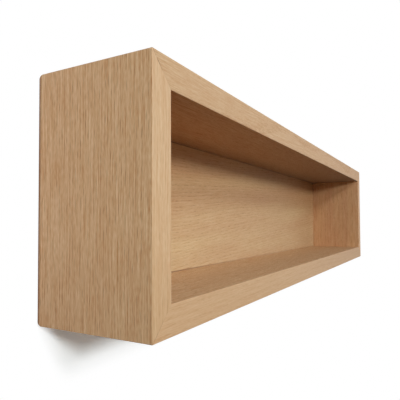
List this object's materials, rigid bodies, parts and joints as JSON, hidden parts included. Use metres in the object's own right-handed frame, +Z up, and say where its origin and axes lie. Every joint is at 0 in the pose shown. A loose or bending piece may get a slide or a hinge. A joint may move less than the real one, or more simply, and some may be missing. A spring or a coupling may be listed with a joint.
{
  "type": "wall shelf",
  "caption": "Long shallow wall shelf: an open-fronted solid wood box with mitred corners and a thin back panel, hung by keyhole plates let into its rear edges.",
  "frame": {"origin": "on the wall plane, midway between the entry holes of the two keyhole plates", "axes": "+X along the shelf to the right as seen from the front, +Y through the rear towards the wall, +Z up"},
  "size_m": [0.76, 0.1, 0.18],
  "materials": {
    "solid_oak": "sanded solid oak under matt hard-wax oil",
    "oak_veneer_panel": "oak-veneered panel, matt",
    "birch_plywood": "raw plywood, hidden in the joints",
    "zinc_plated_steel": "bright zinc plating"
  },
  "bodies": {
    "root": {"top_board": "solid_oak", "bottom_board": "solid_oak", "left_end_board": "solid_oak", "right_end_board": "solid_oak", "back_panel": "oak_veneer_panel", "back_panel_screws": "zinc_plated_steel", "mitre_tongue_top_left": "birch_plywood", "mitre_tongue_top_right": "birch_plywood", "mitre_tongue_bottom_left": "birch_plywood", "mitre_tongue_bottom_right": "birch_plywood", "left_keyhole_plate": "zinc_plated_steel", "right_keyhole_plate": "zinc_plated_steel", "left_plate_screws": "zinc_plated_steel", "right_plate_screws": "zinc_plated_steel"}
  },
  "joints": []
}
